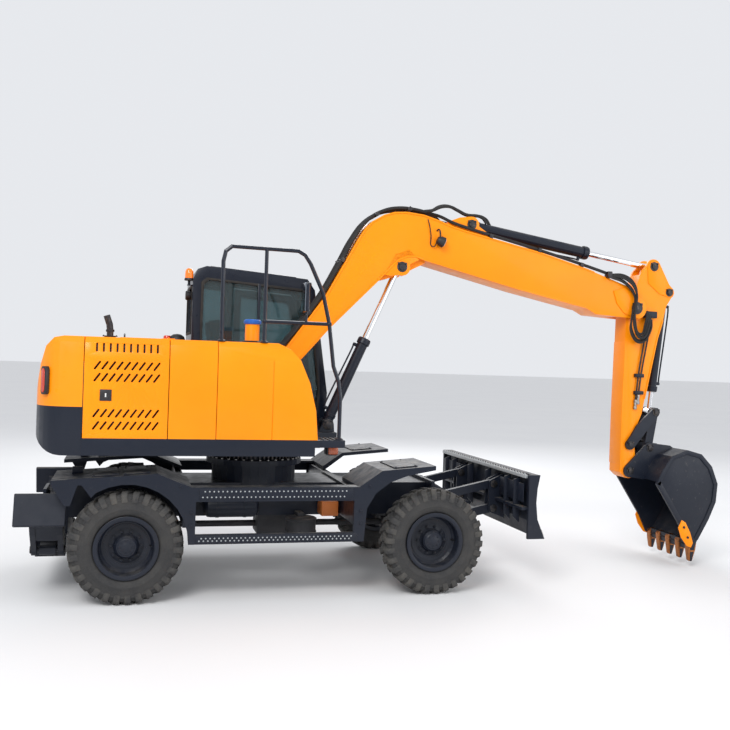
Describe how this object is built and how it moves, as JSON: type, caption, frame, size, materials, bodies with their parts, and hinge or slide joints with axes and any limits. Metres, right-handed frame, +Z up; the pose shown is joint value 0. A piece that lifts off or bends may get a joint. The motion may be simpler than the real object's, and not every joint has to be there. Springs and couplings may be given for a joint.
{
  "type": "wheeled excavator",
  "caption": "Wheeled excavator with a slewing upper structure, boom, arm and bucket, a front dozer blade and rear stabilizers.",
  "frame": {"origin": "on the ground, under the middle of the machine's overall box", "axes": "+X forward to the bucket, +Y to the machine's left, +Z up"},
  "size_m": [6.44, 2.14, 3.3059],
  "materials": {
    "yellow": "gloss",
    "navy": "satin",
    "tyre": "matt",
    "chrome": "polished",
    "glass": "clear",
    "iron": "matt",
    "seat": "matt"
  },
  "bodies": {
    "chassis": {"chassis_frame": "navy", "left_side_frame": "navy", "right_side_frame": "navy", "front_axle": "navy", "rear_axle": "navy", "transmission": "iron", "stabilizer_beam": "navy"},
    "upper": {"platform": "navy", "counterweight": "yellow", "engine": "iron", "side_cover": "yellow", "left_cover": "yellow", "fuel_tank": "yellow", "exhaust_pipe": "iron", "cab_shell": "navy", "windshield": "glass", "rear_window": "glass", "right_window": "glass", "quarter_window": "glass", "seat": "seat", "hand_rail": "navy"},
    "cab_door": {"cab_door": "navy", "door_window": "glass"},
    "side_door": {"side_door": "yellow"},
    "hood_lid": {"hood_lid": "yellow"},
    "boom": {"boom": "yellow"},
    "arm": {"arm": "yellow"},
    "bucket": {"bucket": "navy"},
    "rocker": {"rocker": "navy"},
    "bucket_link": {"bucket_link": "navy"},
    "boom_barrel": {"boom_barrel": "navy"},
    "boom_rod": {"boom_rod": "chrome"},
    "arm_barrel": {"arm_barrel": "navy"},
    "arm_rod": {"arm_rod": "chrome"},
    "bucket_barrel": {"bucket_barrel": "navy"},
    "bucket_rod": {"bucket_rod": "chrome"},
    "blade_barrel": {"blade_barrel": "navy"},
    "blade_rod": {"blade_rod": "chrome"},
    "blade_arms": {"blade_arms": "navy"},
    "blade": {"dozer_blade": "navy"},
    "left_steer": {"left_knuckle": "iron"},
    "left_blade_link": {"left_blade_link": "navy"},
    "left_leg": {"left_stabilizer": "navy"},
    "left_leg_barrel": {"left_stabilizer_barrel": "navy"},
    "left_leg_rod": {"left_stabilizer_rod": "chrome"},
    "front_left_wheel": {"front_left_tyre": "tyre", "front_left_rim": "navy"},
    "rear_left_wheel": {"rear_left_tyre": "tyre", "rear_left_rim": "navy"},
    "right_steer": {"right_knuckle": "iron"},
    "right_blade_link": {"right_blade_link": "navy"},
    "right_leg": {"right_stabilizer": "navy"},
    "right_leg_barrel": {"right_stabilizer_barrel": "navy"},
    "right_leg_rod": {"right_stabilizer_rod": "chrome"},
    "front_right_wheel": {"front_right_tyre": "tyre", "front_right_rim": "navy"},
    "rear_right_wheel": {"rear_right_tyre": "tyre", "rear_right_rim": "navy"}
  },
  "joints": [
    {"name": "left_steering", "type": "hinge", "parent": "chassis", "child": "left_steer", "pos_m": [0.075, 0.745, 0.4325], "axis": [0, 0, 1], "range_deg": [-30, 30]},
    {"name": "front_left_axle", "type": "hinge", "parent": "left_steer", "child": "front_left_wheel", "pos_m": [0.075, 0.9, 0.4325], "axis": [0, 1, 0], "continuous": true},
    {"name": "rear_left_axle", "type": "hinge", "parent": "chassis", "child": "rear_left_wheel", "pos_m": [-2.395, 0.9, 0.4325], "axis": [0, 1, 0], "continuous": true},
    {"name": "right_steering", "type": "hinge", "parent": "chassis", "child": "right_steer", "pos_m": [0.075, -0.745, 0.4325], "axis": [0, 0, 1], "range_deg": [-30, 30]},
    {"name": "front_right_axle", "type": "hinge", "parent": "right_steer", "child": "front_right_wheel", "pos_m": [0.075, -0.9, 0.4325], "axis": [0, 1, 0], "continuous": true},
    {"name": "rear_right_axle", "type": "hinge", "parent": "chassis", "child": "rear_right_wheel", "pos_m": [-2.395, -0.9, 0.4325], "axis": [0, 1, 0], "continuous": true},
    {"name": "slewing", "type": "hinge", "parent": "chassis", "child": "upper", "pos_m": [-1.31, 0, 1.03], "axis": [0, 0, 1], "continuous": true},
    {"name": "boom_foot", "type": "hinge", "parent": "upper", "child": "boom", "pos_m": [-1.17, 0, 1.7], "axis": [0, -1, 0], "range_deg": [-42, 7]},
    {"name": "arm_pivot", "type": "hinge", "parent": "boom", "child": "arm", "pos_m": [2.401, 0, 2.524], "axis": [0, 1, 0], "range_deg": [-62, 42]},
    {"name": "bucket_pivot", "type": "hinge", "parent": "arm", "child": "bucket", "pos_m": [2.4, 0, 0.916], "axis": [0, 1, 0], "range_deg": [-16, 105]},
    {"name": "boom_cylinder", "type": "hinge", "parent": "upper", "child": "boom_barrel", "pos_m": [-0.66, 0, 1.33], "axis": [0, -1, 0], "range_deg": [-43.87, 7.73]},
    {"name": "boom_stroke", "type": "slide", "parent": "boom_barrel", "child": "boom_rod", "axis": [0.3998, 0, 0.9166], "range_m": [-0.45775, 0.08046]},
    {"name": "arm_cylinder", "type": "hinge", "parent": "boom", "child": "arm_barrel", "pos_m": [0.663, 0, 3.232], "axis": [0, 1, 0], "range_deg": [-0.9, 0.77]},
    {"name": "arm_stroke", "type": "slide", "parent": "arm_barrel", "child": "arm_rod", "axis": [0.9896, 0, -0.1438], "range_m": [-0.48038, 0.32703]},
    {"name": "bucket_cylinder", "type": "hinge", "parent": "arm", "child": "bucket_barrel", "pos_m": [2.79, 0, 2.7], "axis": [0, 1, 0], "range_deg": [-9.56, 1.88]},
    {"name": "bucket_stroke", "type": "slide", "parent": "bucket_barrel", "child": "bucket_rod", "axis": [-0.1004, 0, -0.9949], "range_m": [-0.08509, 0.54171]},
    {"name": "rocker_foot", "type": "hinge", "parent": "arm", "child": "rocker", "pos_m": [2.396, 0, 1.174], "axis": [0, 1, 0], "range_deg": [-13.16, 83.59]},
    {"name": "link_pivot", "type": "hinge", "parent": "rocker", "child": "bucket_link", "pos_m": [2.669, 0, 1.501], "axis": [0, 1, 0], "range_deg": [-63.72, 10.13]},
    {"name": "lid_hinge", "type": "hinge", "parent": "upper", "child": "hood_lid", "pos_m": [-2.115, 0, 2.041], "axis": [0, 1, 0], "range_deg": [0, 60]},
    {"name": "side_door_hinge", "type": "hinge", "parent": "upper", "child": "side_door", "pos_m": [-2.118, -0.996, 1.6], "axis": [0, 0, 1], "range_deg": [0, 110]},
    {"name": "cab_door_hinge", "type": "hinge", "parent": "upper", "child": "cab_door", "pos_m": [-1.43, 1.0113, 2], "axis": [0, 0, 1], "range_deg": [0, 95]},
    {"name": "blade_lift", "type": "hinge", "parent": "chassis", "child": "blade_arms", "pos_m": [0.285, 0, 0.5], "axis": [0, 1, 0], "range_deg": [-8, 50.5]},
    {"name": "blade_hinge", "type": "hinge", "parent": "blade_arms", "child": "blade", "pos_m": [0.815, 0, 0.62], "axis": [0, 1, 0], "range_deg": [-51, 8.5]},
    {"name": "left_link_foot", "type": "hinge", "parent": "chassis", "child": "left_blade_link", "pos_m": [0.285, 0, 0.72], "axis": [0, 1, 0], "range_deg": [-8.5, 51]},
    {"name": "right_link_foot", "type": "hinge", "parent": "chassis", "child": "right_blade_link", "pos_m": [0.285, 0, 0.72], "axis": [0, 1, 0], "range_deg": [-8.5, 51]},
    {"name": "blade_cylinder", "type": "hinge", "parent": "chassis", "child": "blade_barrel", "pos_m": [0.285, 0, 0.81], "axis": [0, 1, 0], "range_deg": [-5.39, 31.36]},
    {"name": "blade_stroke", "type": "slide", "parent": "blade_barrel", "child": "blade_rod", "axis": [0.8653, 0, -0.5012], "range_m": [-0.03493, 0.20455]},
    {"name": "left_leg_swing", "type": "hinge", "parent": "chassis", "child": "left_leg", "pos_m": [-2.985, 0.62, 0.36], "axis": [-1, 0, 0], "range_deg": [0, 108]},
    {"name": "left_leg_cylinder", "type": "hinge", "parent": "chassis", "child": "left_leg_barrel", "pos_m": [-2.985, 0.12, 0.7], "axis": [-1, 0, 0], "range_deg": [-0.5, 1.42]},
    {"name": "left_leg_stroke", "type": "slide", "parent": "left_leg_barrel", "child": "left_leg_rod", "axis": [0, 0.9247, -0.3807], "range_m": [-0.003, 0.26775]},
    {"name": "right_leg_swing", "type": "hinge", "parent": "chassis", "child": "right_leg", "pos_m": [-2.985, -0.62, 0.36], "axis": [1, 0, 0], "range_deg": [0, 108]},
    {"name": "right_leg_cylinder", "type": "hinge", "parent": "chassis", "child": "right_leg_barrel", "pos_m": [-2.985, -0.12, 0.7], "axis": [1, 0, 0], "range_deg": [-0.5, 1.42]},
    {"name": "right_leg_stroke", "type": "slide", "parent": "right_leg_barrel", "child": "right_leg_rod", "axis": [0, -0.9247, -0.3807], "range_m": [-0.003, 0.26775]}
  ],
  "couplings": [
    {"joint": "right_steering", "follows": "left_steering", "ratio": 1},
    {"joint": "boom_cylinder", "follows": "boom_foot", "ratio": 1.0326},
    {"joint": "boom_stroke", "follows": "boom_foot", "m_per_rad": 0.61763},
    {"joint": "arm_cylinder", "follows": "arm_pivot", "ratio": 0.00639},
    {"joint": "arm_stroke", "follows": "arm_pivot", "m_per_rad": 0.43931},
    {"joint": "bucket_cylinder", "follows": "bucket_pivot", "ratio": -0.0863},
    {"joint": "bucket_stroke", "follows": "bucket_pivot", "m_per_rad": 0.29396},
    {"joint": "rocker_foot", "follows": "bucket_pivot", "ratio": 0.79138},
    {"joint": "link_pivot", "follows": "bucket_pivot", "ratio": -0.60211},
    {"joint": "blade_hinge", "follows": "blade_lift", "ratio": -1},
    {"joint": "left_link_foot", "follows": "blade_lift", "ratio": 1},
    {"joint": "right_link_foot", "follows": "blade_lift", "ratio": 1},
    {"joint": "blade_cylinder", "follows": "blade_lift", "ratio": 0.61108},
    {"joint": "blade_stroke", "follows": "blade_lift", "m_per_rad": 0.22867},
    {"joint": "left_leg_cylinder", "follows": "left_leg_swing", "ratio": 0.00852},
    {"joint": "left_leg_stroke", "follows": "left_leg_swing", "m_per_rad": 0.14046},
    {"joint": "right_leg_cylinder", "follows": "right_leg_swing", "ratio": 0.00852},
    {"joint": "right_leg_stroke", "follows": "right_leg_swing", "m_per_rad": 0.14046}
  ]
}
